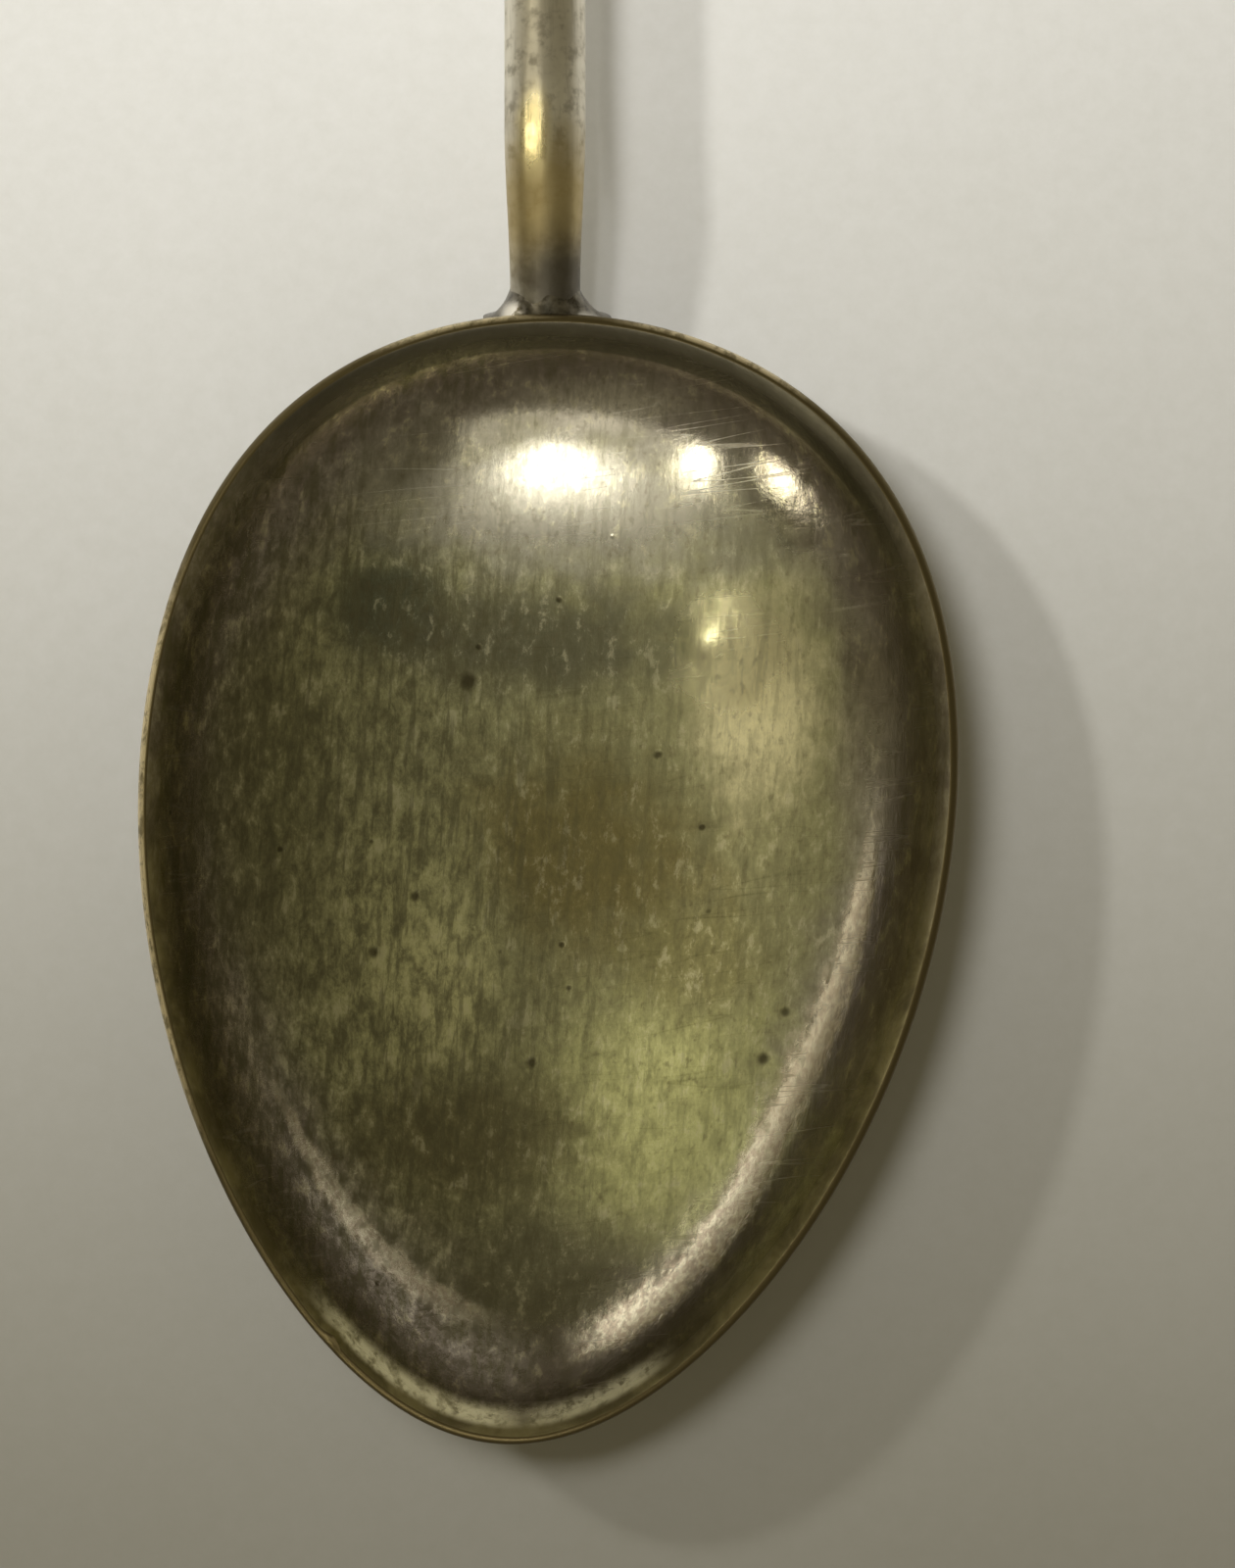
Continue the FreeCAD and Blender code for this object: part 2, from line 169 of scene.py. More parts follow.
def mesh_piece(name, points, faces, material, crease=CREASE):
    """A smooth mesh object from points in millimetres in the row frame."""
    mesh = bpy.data.meshes.new(name)
    mesh.from_pydata([tuple(c * MM for c in point) for point in points], [], faces)
    mesh.validate()
    mesh.polygons.foreach_set("use_smooth", [True] * len(mesh.polygons))
    mesh.set_sharp_from_angle(angle=math.radians(crease))
    mesh.materials.append(material)
    piece = bpy.data.objects.new(name, mesh)
    bpy.context.scene.collection.objects.link(piece)
    return piece


def ring_faces(rows, count):
    """Faces between closed rows of count points each, and a face over each open end."""
    faces = []
    for row in range(rows - 1):
        for step in range(count):
            after = (step + 1) % count
            faces.append((row * count + step, (row + 1) * count + step,
                          (row + 1) * count + after, row * count + after))
    faces.append(tuple(range(count)))
    faces.append(tuple(reversed(range((rows - 1) * count, rows * count))))
    return faces


# ---------------------------------------------------------------- bowl's shape

def egg_half_width(t):
    """The egg outline's half width at t, before it is scaled to the bowl's width."""
    return math.sin(t) * (1 + EGG_TAPER * math.cos(t) + EGG_BELLY * math.cos(2 * t)
                          + EGG_SHOULDER * math.cos(3 * t))


EGG_WIDEST = max(egg_half_width(math.pi * step / 360) for step in range(361))


def bowl_point(t, fall, inset, floor):
    """A point of the bowl about the bowl's own middle; t = 0 at the heel, fall = 0 at the rim."""
    x = (BOWL_WIDTH / 2 - inset) * egg_half_width(t) / EGG_WIDEST
    y = (BOWL_LENGTH / 2 - inset) * math.cos(t)
    rim_z = RIM_HEIGHT - RIM_RISE * y / BOWL_LENGTH
    shrink = math.cos(fall) ** (2 / FALL_NEAR_MIDDLE)
    depth = math.sin(fall) ** (2 * FALL_NEAR_RIM)
    x = x * shrink
    y = HOLLOW_Y + (y - HOLLOW_Y) * shrink
    return (x * math.cos(BOWL_ROLL) - y * math.sin(BOWL_ROLL),
            x * math.sin(BOWL_ROLL) + y * math.cos(BOWL_ROLL),
            floor + (rim_z - floor) * (1 - depth))


def bowl_middle():
    """Where the bowl's own middle lies in the row frame, from the CAD bowl's box."""
    low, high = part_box("bowl")
    outline = [bowl_point(2 * math.pi * step / 720, 0.0, 0.0, 0.0) for step in range(720)]
    xs = [point[0] for point in outline]
    ys = [point[1] for point in outline]
    return ((low.x + high.x) / 2 / MM - (min(xs) + max(xs)) / 2,
            (low.y + high.y) / 2 / MM - (min(ys) + max(ys)) / 2)


BOWL_X, BOWL_Y = bowl_middle()


def dents(x, y):
    """Slight unevenness of the hollow, in millimetres: slow waves and a few small dents."""
    wave = noise.noise(Vector((x / 5.0, y / 7.0, 3.1))) * SLOW_WAVE
    wave += noise.noise(Vector((x / 2.1, y / 2.8, 8.7))) * QUICK_WAVE
    for dent_x, dent_y, radius, depth in DENTS:
        away = ((x - dent_x) ** 2 + (y - dent_y) ** 2) / radius ** 2
        wave -= depth * math.exp(-away)
    return wave


def rim_profile():
    """The rim's outer half in section, from the outer wall to its top: inset and height."""
    steps = 6
    profile = []
    for step in range(steps + 1):
        angle = math.pi / 2 * step / steps
        profile.append((RIM_ROUND * (1 - math.cos(angle)), -RIM_ROUND * (1 - math.sin(angle))))
    return profile


def soft_edge(t, top, share):
    """The rim's inner half: an even curve from its top down into the hollow's wall."""
    fall = fall_at_drop(SOFT_DROP)
    end = Vector(bowl_point(t, fall, RIM_LAND, BOWL_WALL - WEAR_DEPTH))
    before = Vector(bowl_point(t, fall - 0.02, RIM_LAND, BOWL_WALL - WEAR_DEPTH))
    rise = before - end
    corner = end + rise * ((top.z - end.z) / rise.z)
    corner = corner.lerp(top.lerp(end, 0.5), 0.25)
    return top * (1 - share) ** 2 + corner * 2 * share * (1 - share) + end * share ** 2


def nick(t):
    """How far the small nick takes the rim in, at a place round the egg."""
    return NICK_DEPTH * math.exp(-((t - NICK_ANGLE) / NICK_WIDTH) ** 2)


def fall_at_drop(drop):
    """The fall at which the wall is this far below the rim."""
    return math.asin((drop / RIM_HEIGHT) ** (1 / (2 * FALL_NEAR_RIM)))


def build_bowl(material):
    """The shell as one closed skin: up the outside, over the rim and down the hollow."""
    around = 400
    down = 130
    points = []
    marks = {"depth_share": [], "to_right": [], "to_heel": []}

    def add_row(side, fall, point_at):
        for step in range(around):
            t = 2 * math.pi * step / around
            x, y, z = point_at(t)
            if side > 0:
                z += dents(x, y) * eased((math.degrees(fall) - 9) / 25)
            points.append((BOWL_X + x, BOWL_Y + y, max(z, 0.0)))
            marks["depth_share"].append(side * math.degrees(fall) / 90)
            marks["to_right"].append(math.sin(t))
            marks["to_heel"].append(math.cos(t))

    def falls(drop):
        first = fall_at_drop(drop)
        return [first + (math.radians(89.4) - first) * step / down for step in range(down + 1)]

    for fall in reversed(falls(RIM_ROUND)):
        add_row(-1, fall, lambda t: bowl_point(t, fall, 0.0, -WEAR_DEPTH))

    def rim_point(t, inset, drop):
        worn = noise.noise(Vector((math.cos(t) * 5, math.sin(t) * 5, 1.0))) * RIM_WEAR
        taken = nick(t)
        x, y, z = bowl_point(t, 0.0, inset + (worn + taken) * inset / RIM_ROUND, 0.0)
        return Vector((x, y, z + drop - 0.35 * taken))

    for inset, drop in rim_profile():
        add_row(-1, math.radians(2.4 - 1.6 * inset / RIM_ROUND), lambda t: rim_point(t, inset, drop))
    for step in range(1, 16):
        add_row(1, math.radians(6.0 * step / 15),
                lambda t: soft_edge(t, rim_point(t, RIM_ROUND, 0.0), step / 16))
    for fall in falls(SOFT_DROP):
        add_row(1, fall, lambda t: bowl_point(t, fall, RIM_LAND, BOWL_WALL - WEAR_DEPTH))
    rows = len(points) // around
    piece = mesh_piece("bowl_shell", points, ring_faces(rows, around), material, RIM_CREASE)
    for name, values in marks.items():
        attribute = piece.data.attributes.new(name, "FLOAT", "POINT")
        attribute.data.foreach_set("value", values)
    return piece


def bowl_blank():
    """The bowl's outside as a filled solid, carried on over the rim: it trims what is soldered on."""
    around = 240
    points = []
    falls = [math.radians(88 - 88 * step / 60) for step in range(61)]
    for fall in falls:
        for step in range(around):
            x, y, z = bowl_point(2 * math.pi * step / around, fall, 0.0, -WEAR_DEPTH)
            points.append((BOWL_X + x, BOWL_Y + y, z))
    points += [(x, y, z + 3.0) for x, y, z in points[-around:]]
    rows = len(points) // around
    return mesh_piece("trim", points, ring_faces(rows, around), bpy.data.materials.new("trim"))


# ---------------------------------------------------------------- stem's shape

HEEL_Y = max(bowl_point(2 * math.pi * step / 720, 0.0, 0.0, 0.0)[1] for step in range(720))


def halved(low, high, is_low):
    """Finds by halving where is_low stops being true."""
    for _ in range(50):
        middle = (low + high) / 2
        if is_low(middle):
            low = middle
        else:
            high = middle
    return low


FOOT_FALL = halved(0.0, math.pi / 2,
                   lambda fall: bowl_point(0.0, fall, 0.0, -WEAR_DEPTH)[2] > FOOT_HEIGHT)
FOOT_Y = bowl_point(0.0, FOOT_FALL, 0.0, -WEAR_DEPTH)[1]
CROWN_Y = FOOT_Y + NECK_RADIUS * math.sin(NECK_RISE)
CROWN_Z = FOOT_HEIGHT + NECK_RADIUS * (1 - math.cos(NECK_RISE))


def arch(tilt):
    """Radius of the long arc after the crown, the straight run to the pad's edge, and the drop."""
    pad_y = HEEL_Y + HANDLE_LENGTH - MEDAL_DIAMETER / 2 * math.cos(tilt)
    straight = PAD_DIAMETER + SHOULDER_WIDTH
    run = pad_y + (PAD_DIAMETER / 2 - straight) * math.cos(tilt) - CROWN_Y
    radius = run / math.sin(tilt)
    return radius, straight, radius * (1 - math.cos(tilt)) + straight * math.sin(tilt)


TILT = halved(0.001, 0.5, lambda tilt: CROWN_Z - arch(tilt)[2] - PAD_THICKNESS / 2 * math.cos(tilt) > 0)
ARCH_RADIUS, STRAIGHT, _ = arch(TILT)
NECK_LENGTH = NECK_RADIUS * NECK_RISE
ARCH_LENGTH = ARCH_RADIUS * TILT
STEM_LENGTH = NECK_LENGTH + ARCH_LENGTH + STRAIGHT


def stem_axis(s):
    """Place and slope of the stem's axis, s along it from the bowl's wall."""
    if s < 0:
        return FOOT_Y + s * math.cos(NECK_RISE), FOOT_HEIGHT + s * math.sin(NECK_RISE), NECK_RISE
    if s < NECK_LENGTH:
        slope = NECK_RISE - s / NECK_RADIUS
        return (CROWN_Y - NECK_RADIUS * math.sin(slope),
                CROWN_Z - NECK_RADIUS * (1 - math.cos(slope)), slope)
    slope = min((s - NECK_LENGTH) / ARCH_RADIUS, TILT)
    beyond = max(0.0, s - NECK_LENGTH - ARCH_LENGTH)
    return (CROWN_Y + ARCH_RADIUS * math.sin(slope) + beyond * math.cos(TILT),
            CROWN_Z - ARCH_RADIUS * (1 - math.cos(slope)) - beyond * math.sin(TILT), -slope)


def along_stem(distance):
    """Length along the stem's axis at a distance from the bowl's heel."""
    return halved(0.0, STEM_LENGTH, lambda s: stem_axis(s)[0] < HEEL_Y + distance)


TWIST_FROM = along_stem(TWIST_START)
TWIST_TO = along_stem(TWIST_START + TWIST_LENGTH)
PAD_CENTRE = STEM_LENGTH - PAD_DIAMETER / 2
MEDAL_EDGE = PAD_CENTRE - MEDAL_DIAMETER / 2


def stem_x_at(s):
    """How far the stem's axis lies to the right of the bowl's middle."""
    return FOOT_X + (STEM_X - FOOT_X) * eased(s / FOOT_LENGTH)


def in_row(s, across, over):
    """A point beside the stem's axis in the row frame."""
    y, z, slope = stem_axis(s)
    return (BOWL_X + stem_x_at(s) + across, BOWL_Y + y - over * math.sin(slope), z + over * math.cos(slope))


def pad_chord(s):
    """Half the round pad's width at s, or 0 beyond it."""
    away = (s - PAD_CENTRE) / (PAD_DIAMETER / 2)
    return PAD_DIAMETER / 2 * math.sqrt(max(0.0, 1 - away * away))


def stem_section(s):
    """Half width, half thickness, squareness and turn of the stem's section."""
    crown = eased((s - FOOT_LENGTH) / (NECK_LENGTH - FOOT_LENGTH + 1))
    round_size = NECK_DIAMETER + (STEM_DIAMETER - NECK_DIAMETER) * crown
    foot = 1 - eased(s / FOOT_LENGTH)
    lap = 1 - eased((s + LAP_LENGTH) / LAP_LENGTH)
    width = round_size + (FOOT_WIDTH - NECK_DIAMETER) * foot
    thickness = round_size + (FOOT_THICKNESS - NECK_DIAMETER) * foot
    width += (LAP_WIDTH - width) * lap
    thickness += (LAP_THICKNESS - thickness) * lap
    square = eased((s - TWIST_FROM) / 0.5) * eased((TWIST_TO - s) / 0.5)
    width += (BAR_SIDE - width) * square
    thickness += (BAR_SIDE - thickness) * square
    flat = eased((s - TWIST_TO - RING_THICKNESS) / (MEDAL_EDGE - TWIST_TO - RING_THICKNESS))
    width += (SHOULDER_WIDTH - width) * flat
    thickness += (SHOULDER_THICKNESS - thickness) * flat
    half_width = width / 2
    half_thickness = thickness / 2
    pad = pad_chord(s)
    if s > PAD_CENTRE:
        half_width = pad
        half_thickness = PAD_THICKNESS / 2
    elif pad > 0:
        reach = 1.5
        half_width = (half_width ** 6 + pad ** 6) ** (1 / 6)
        half_thickness += (PAD_THICKNESS / 2 - half_thickness) * eased(pad / reach)
    for centre in (TWIST_FROM, TWIST_TO):
        away = abs(s - centre) / (RING_THICKNESS / 2)
        if away < 1:
            tube = RING_THICKNESS / 2 * math.sqrt(1 - away * away)
            ring = RING_DIAMETER / 2 - RING_THICKNESS / 2 + tube
            half_width = max(half_width, ring)
            half_thickness = max(half_thickness, ring)
            square = 0.0
    turn = 2 * math.pi * TWIST_TURNS * min(max((s - TWIST_FROM) / (TWIST_TO - TWIST_FROM), 0), 1)
    return half_width, half_thickness, 2 + 5 * square + 4 * flat, turn


def evenly(start, end, steps):
    """Even steps from start to end, without start itself."""
    return [start + (end - start) * step / steps for step in range(1, steps + 1)]


def stem_stations():
    """Places of the stem's sections, closest on the two rings and at the pad's rounded end."""
    half_ring = RING_THICKNESS / 2
    places = [-LAP_LENGTH] + evenly(-LAP_LENGTH, TWIST_FROM - half_ring, 110)
    places += evenly(TWIST_FROM - half_ring, TWIST_FROM + half_ring, 16)
    places += evenly(TWIST_FROM + half_ring, TWIST_TO - half_ring, 180)
    places += evenly(TWIST_TO - half_ring, TWIST_TO + half_ring, 16)
    places += evenly(TWIST_TO + half_ring, PAD_CENTRE - PAD_DIAMETER / 2, 60)
    places += evenly(PAD_CENTRE - PAD_DIAMETER / 2, PAD_CENTRE, 40)
    for step in range(1, 33):
        places.append(PAD_CENTRE + PAD_DIAMETER / 2 * math.sin(math.pi / 2 * step / 32 * 0.995))
    return places


def neck_swell(s):
    """A slight hump in the hand-bent neck, just past its highest place."""
    return SWELL_HEIGHT * math.exp(-((s - along_stem(NECK_SWELL)) / SWELL_LENGTH) ** 2)


def rubbed_flat(s, across, over, top):
    """Takes a little metal off where the neck's upper left side has been rubbed nearly flat."""
    depth = FLAT_DEPTH * math.exp(-((s - along_stem(NECK_SWELL)) / FLAT_LENGTH) ** 2)
    facing = Vector((-math.sin(FLAT_LEAN), math.cos(FLAT_LEAN)))
    beyond = across * facing.x + over * facing.y - (top - depth)
    taken = FLAT_SHARE * max(0.0, beyond)
    return across - facing.x * taken, over - facing.y * taken


def section_points(s, count, more_width=0.0, more_thickness=0.0):
    """The section's outline at s in the row frame, made wider and thicker by the two last values."""
    half_width, half_thickness, squareness, turn = stem_section(s)
    swell = neck_swell(s)
    twisted = turn if TWIST_FROM < s < TWIST_TO else 0.0
    points = []
    for step in range(count):
        angle = 2 * math.pi * step / count
        cosine = math.cos(angle)
        sine = math.sin(angle)
        reach = (abs(cosine) ** squareness + abs(sine) ** squareness) ** (-1 / squareness)
        across = (half_width + more_width) * reach * cosine
        over = (half_thickness + more_thickness) * reach * sine
        if abs(s - NECK_SWELL) < FLAT_WINDOW:
            across, over = rubbed_flat(s, across, over, half_thickness + more_thickness)
        over += swell
        points.append(in_row(s, across * math.cos(twisted) - over * math.sin(twisted),
                             across * math.sin(twisted) + over * math.cos(twisted)))
    return points


def cut_by(piece, cutters):
    """Takes the cutters out of the piece for good."""
    for cutter in cutters:
        modifier = piece.modifiers.new("cut", "BOOLEAN")
        modifier.operation = "DIFFERENCE"
        modifier.solver = "EXACT"
        modifier.object = cutter
    bpy.context.view_layer.update()
    graph = bpy.context.evaluated_depsgraph_get()
    done = bpy.data.meshes.new_from_object(piece.evaluated_get(graph))
    done.validate()
    piece.modifiers.clear()
    piece.data = done
    piece.data.set_sharp_from_angle(angle=math.radians(CREASE))


def build_stem(material, trim):
    count = 64
    points = []
    for s in stem_stations():
        points += section_points(s, count)
    rows = len(points) // count
    piece = mesh_piece("stem_rod", points, ring_faces(rows, count), material)
    cut_by(piece, [trim])
    return piece


def solder_section(s, share, count):
    """The saddle's outline at s: inside the stem at share 0, and its full spread at share 1."""
    return section_points(s, count, (FILLET_SPREAD + SINK_INTO_STEM) * share - SINK_INTO_STEM,
                          (FILLET_RISE + SINK_INTO_STEM) * share - SINK_INTO_STEM)


def build_solder(material, trim, stem):
    """The saddle round the foot: it climbs the stem in a hollow curve, with lumps where it ran."""
    count = 96
    rim_s = along_stem(0.0)
    points = []
    for s in [-LAP_SOLDER] + evenly(-LAP_SOLDER, rim_s, 50):
        points += solder_section(s, eased((s + LAP_SOLDER) / (rim_s + LAP_SOLDER)), count)
    for s in evenly(rim_s, rim_s + FILLET_REACH, 40):
        left = 1 - (s - rim_s) / FILLET_REACH
        points += solder_section(s, 1 - math.sqrt(max(0.0, 1 - left * left)), count)
    shaped = []
    for x, y, z in points:
        for lump_x, lump_y, radius, height in SOLDER_LUMPS:
            away = ((x - BOWL_X - lump_x) ** 2 + (y - BOWL_Y - lump_y) ** 2) / radius ** 2
            z += height * math.exp(-away) if z > FOOT_HEIGHT else 0.0
        rough = noise.noise(Vector((x * 1.6, y * 1.6, z * 1.6))) * SOLDER_ROUGHNESS
        shaped.append((x + rough, y, z + rough))
    rows = len(shaped) // count
    piece = mesh_piece("heel_solder_saddle", shaped, ring_faces(rows, count), material)
    cut_by(piece, [trim, stem])
    return piece


# ---------------------------------------------------------------- materials

class Recipe:
    """A material built from nodes, with short calls for the nodes that the spoon needs."""

    def __init__(self, name):
        self.material = bpy.data.materials.new(name)
        self.material.use_nodes = True
        self.tree = self.material.node_tree
        self.shader = self.tree.nodes["Principled BSDF"]
        coordinates = self.tree.nodes.new("ShaderNodeTexCoord")
        scale = self.tree.nodes.new("ShaderNodeVectorMath")
        scale.operation = "SCALE"
        scale.inputs["Scale"].default_value = 1 / MM
        self.link(coordinates.outputs["Object"], scale.inputs[0])
        self.place = scale.outputs[0]

    def link(self, source, target):
        """Joins a node's output to a socket, or sets the socket to a plain value."""
        if hasattr(source, "is_output"):
            self.tree.links.new(source, target)
        else:
            target.default_value = source

    def set(self, socket, value):
        self.link(value, self.shader.inputs[socket])

    def about(self, x, y, stretch=(1.0, 1.0, 1.0), turn=0.0):
        """Coordinates in millimetres about an upright line, turned about +Z and stretched."""
        move = self.tree.nodes.new("ShaderNodeVectorMath")
        move.operation = "SUBTRACT"
        self.link(self.place, move.inputs[0])
        move.inputs[1].default_value = (x, y, 0.0)
        spin = self.tree.nodes.new("ShaderNodeVectorRotate")
        spin.rotation_type = "Z_AXIS"
        spin.inputs["Angle"].default_value = turn
        self.link(move.outputs[0], spin.inputs["Vector"])
        size = self.tree.nodes.new("ShaderNodeVectorMath")
        size.operation = "DIVIDE"
        self.link(spin.outputs[0], size.inputs[0])
        size.inputs[1].default_value = stretch
        return size.outputs[0]

    def noise(self, place, scale, detail=3.0, roughness=0.55, distortion=0.0):
        node = self.tree.nodes.new("ShaderNodeTexNoise")
        self.link(place, node.inputs["Vector"])
        node.inputs["Scale"].default_value = scale
        node.inputs["Detail"].default_value = detail
        node.inputs["Roughness"].default_value = roughness
        node.inputs["Distortion"].default_value = distortion
        return node.outputs["Fac"]

    def cells(self, place, scale):
        """Distance from the nearest of many scattered points."""
        node = self.tree.nodes.new("ShaderNodeTexVoronoi")
        self.link(place, node.inputs["Vector"])
        node.inputs["Scale"].default_value = scale
        return node.outputs["Distance"]

    def length(self, vector):
        node = self.tree.nodes.new("ShaderNodeVectorMath")
        node.operation = "LENGTH"
        self.link(vector, node.inputs[0])
        return node.outputs["Value"]

    def axis(self, vector, name):
        node = self.tree.nodes.new("ShaderNodeSeparateXYZ")
        self.link(vector, node.inputs[0])
        return node.outputs[name]

    def math(self, operation, first, second=0.0):
        node = self.tree.nodes.new("ShaderNodeMath")
        node.operation = operation
        self.link(first, node.inputs[0])
        self.link(second, node.inputs[1])
        return node.outputs[0]

    def plus(self, first, second):
        return self.math("ADD", first, second)

    def minus(self, first, second):
        return self.math("SUBTRACT", first, second)

    def times(self, first, second):
        return self.math("MULTIPLY", first, second)

    def most(self, first, second):
        return self.math("MAXIMUM", first, second)

    def ramp(self, value, low, high, start=0.0, end=1.0):
        """start below low, end above high, and a smooth change between them."""
        node = self.tree.nodes.new("ShaderNodeMapRange")
        node.interpolation_type = "SMOOTHSTEP"
        self.link(value, node.inputs["Value"])
        node.inputs["From Min"].default_value = low
        node.inputs["From Max"].default_value = high
        node.inputs["To Min"].default_value = start
        node.inputs["To Max"].default_value = end
        return node.outputs["Result"]

    def spot(self, x, y, half_width, half_length, turn=0.0, rough_edge=0.0):
        """1 in the middle of an oval patch, fading to 0 at its edge."""
        place = self.about(x, y, (half_width, half_length, NO_LIMIT), turn)
        away = self.length(place)
        if rough_edge:
            wander = self.minus(self.noise(self.place, 0.9, 4.0), 0.5)
            away = self.plus(away, self.times(wander, rough_edge))
        return self.ramp(away, 1.0, 0.25)

    def mix(self, share, first, second):
        node = self.tree.nodes.new("ShaderNodeMix")
        node.data_type = "RGBA"
        self.link(share, node.inputs["Factor"])
        self.link(rgb(first), node.inputs[6])
        self.link(rgb(second), node.inputs[7])
        return node.outputs[2]

    def tinted(self, base, mask, amount, tint):
        """Mixes a tint in where the mask is, by an amount."""
        return self.mix(self.times(mask, amount), base, tint)

    def bump(self, height, strength, distance):
        node = self.tree.nodes.new("ShaderNodeBump")
        node.inputs["Strength"].default_value = strength
        node.inputs["Distance"].default_value = distance * MM
        self.link(height, node.inputs["Height"])
        return node.outputs["Normal"]

    def attribute(self, name):
        node = self.tree.nodes.new("ShaderNodeAttribute")
        node.attribute_name = name
        return node.outputs["Fac"]


def rgb(value):
    """A colour as red, green, blue and alpha; a node's output stays as it is."""
    if hasattr(value, "is_output"):
        return value
    return (*value, 1.0)


class BowlRecipe(Recipe):
    """The bowl's recipe: masks by depth and by direction round the egg, and the noises they share."""

    def __init__(self, name):
        super().__init__(name)
        self.share = self.attribute("depth_share")
        self.to_right = self.attribute("to_right")
        self.to_heel = self.attribute("to_heel")
        self.local = self.about(BOWL_X, BOWL_Y)
        grain = self.about(BOWL_X, BOWL_Y, (1.0, 1.8, 1.0), GRAIN_TURN)
        self.mottle = self.noise(grain, 2.1, 6.0, 0.74, 0.2)
        self.speckle = self.noise(grain, 5.0, 3.0, 0.6)
        self.cloud = self.noise(self.local, 0.5, 5.0, 0.62, 0.5)
        self.drift = self.noise(self.local, 0.22, 3.0, 0.5)
        drawn_out = self.about(BOWL_X, BOWL_Y, (1.0, 9.0, 3.0), GRAIN_TURN)
        self.streaks = self.noise(drawn_out, 3.6, 4.0, 0.65)

    def blotch(self, x, y, half_width, half_length, turn, wander=0.8):
        """An oval patch about a point of the bowl, with a wandering edge."""
        return self.spot(BOWL_X + x, BOWL_Y + y, half_width, half_length, math.radians(turn), wander)

    def sector(self, degrees, full, fade):
        """1 within full degrees of a direction round the egg, 0 beyond fade."""
        turn = math.radians(degrees)
        along = self.plus(self.times(self.to_right, math.sin(turn)),
                          self.times(self.to_heel, math.cos(turn)))
        return self.ramp(along, math.cos(math.radians(fade)), math.cos(math.radians(full)))

    def belt(self, middle, half_width, soft):
        """1 where the wall is within half_width of a depth share, 0 beyond soft more."""
        away = self.math("ABSOLUTE", self.minus(self.share, middle))
        return self.ramp(away, half_width + soft, half_width)

    def painted_reflection_band(self, middle, narrow, wide, widest_at, reach, centre, full, fade):
        """A strip of painted reflection that swells and thins round the wall."""
        width = self.plus(narrow, self.times(self.sector(widest_at, 8, reach), wide - narrow))
        ragged = self.times(self.minus(self.mottle, 0.5), 1.5)
        away = self.math("ABSOLUTE", self.minus(self.share, middle))
        away = self.plus(self.math("DIVIDE", away, width), ragged)
        return self.times(self.sector(centre, full, fade), self.ramp(away, 1.5, 0.5))


def bowl_ground(recipe, floor_share):
    """Grey-brown wall and brassy floor, with the large patches."""
    wall = recipe.mix(recipe.ramp(recipe.cloud, 0.3, 0.7), (0.27, 0.23, 0.21), (0.46, 0.42, 0.38))
    base = recipe.mix(floor_share, wall, (0.42, 0.41, 0.23))
    for x, y, half_width, half_length, turn, amount, tint in BOWL_PATCHES:
        base = recipe.tinted(base, recipe.blotch(x, y, half_width, half_length, turn), amount, tint)
    wallside = recipe.times(recipe.minus(1.0, floor_share), recipe.belt(0.2, 0.06, 0.1))
    return recipe.tinted(base, wallside, 0.5, (0.26, 0.22, 0.20))


def tarnished(recipe, base, dirt, left_side):
    """Lays dirt, specks, pale grains and streaks over the ground; the dirt is heavier on the left."""
    base = recipe.mix(dirt, base, (0.11, 0.10, 0.055))
    base = recipe.tinted(base, recipe.ramp(recipe.speckle, 0.54, 0.72), 0.35, (0.16, 0.13, 0.07))
    base = recipe.tinted(base, recipe.ramp(recipe.mottle, 0.46, 0.34), 0.38, (0.74, 0.70, 0.50))
    amount = recipe.ramp(left_side, 0.3, 0.7, 0.25, 0.6)
    return recipe.tinted(base, recipe.ramp(recipe.streaks, 0.48, 0.62), amount, (0.15, 0.14, 0.08))


def painted_reflection_bands(recipe):
    """The two strips of painted reflection down the wall; the right one runs nearer the rim towards the
    tip.
    """
    right_middle = recipe.ramp(recipe.to_heel, -0.85, -0.4, 0.308, 0.382)
    right_reflection = recipe.painted_reflection_band(right_middle, 0.022, 0.052, 134, 56, 124, 32, 46)
    left_reflection = recipe.painted_reflection_band(0.38, 0.016, 0.026, 208, 26, 212, 10, 34)
    return recipe.most(right_reflection, recipe.times(left_reflection, 0.5))


def with_painted_reflections(recipe, base, reflection_bands):
    """Lays the painted reflections' pale colour over the base, browner at the upper right."""
    # painted reflection: the pale strips down the wall, mottled at their edges
    painted_shine = recipe.times(reflection_bands, recipe.ramp(recipe.mottle, 0.62, 0.48, 0.6, 1.0))
    colour = recipe.mix(recipe.ramp(recipe.speckle, 0.38, 0.62), (1.0, 0.94, 0.76), (0.72, 0.62, 0.50))
    upper = recipe.times(recipe.ramp(recipe.to_heel, -0.74, -0.45), recipe.ramp(recipe.to_right, 0.0, 0.5))
    return recipe.mix(painted_shine, base, recipe.tinted(colour, upper, 0.62, (0.42, 0.36, 0.24)))


def painted_tip_highlight(recipe):
    """A painted highlight: the bright line just inside the rim at the tip."""
    lit = recipe.most(recipe.sector(196, 11, 24), recipe.times(recipe.sector(163, 6, 16), 0.7))
    tip_highlight = recipe.times(lit, recipe.belt(0.046, 0.005, 0.018))
    return recipe.times(tip_highlight, recipe.ramp(recipe.mottle, 0.66, 0.46, 0.3, 1.0))


def bowl_pits(recipe):
    """Small dark pits: a thin scatter, and the few larger ones."""
    pits = recipe.ramp(recipe.cells(recipe.local, 0.42), 0.06, 0.02)
    for x, y, size in BOWL_PITS:
        pits = recipe.most(pits, recipe.spot(BOWL_X + x, BOWL_Y + y, size, size))
    return pits


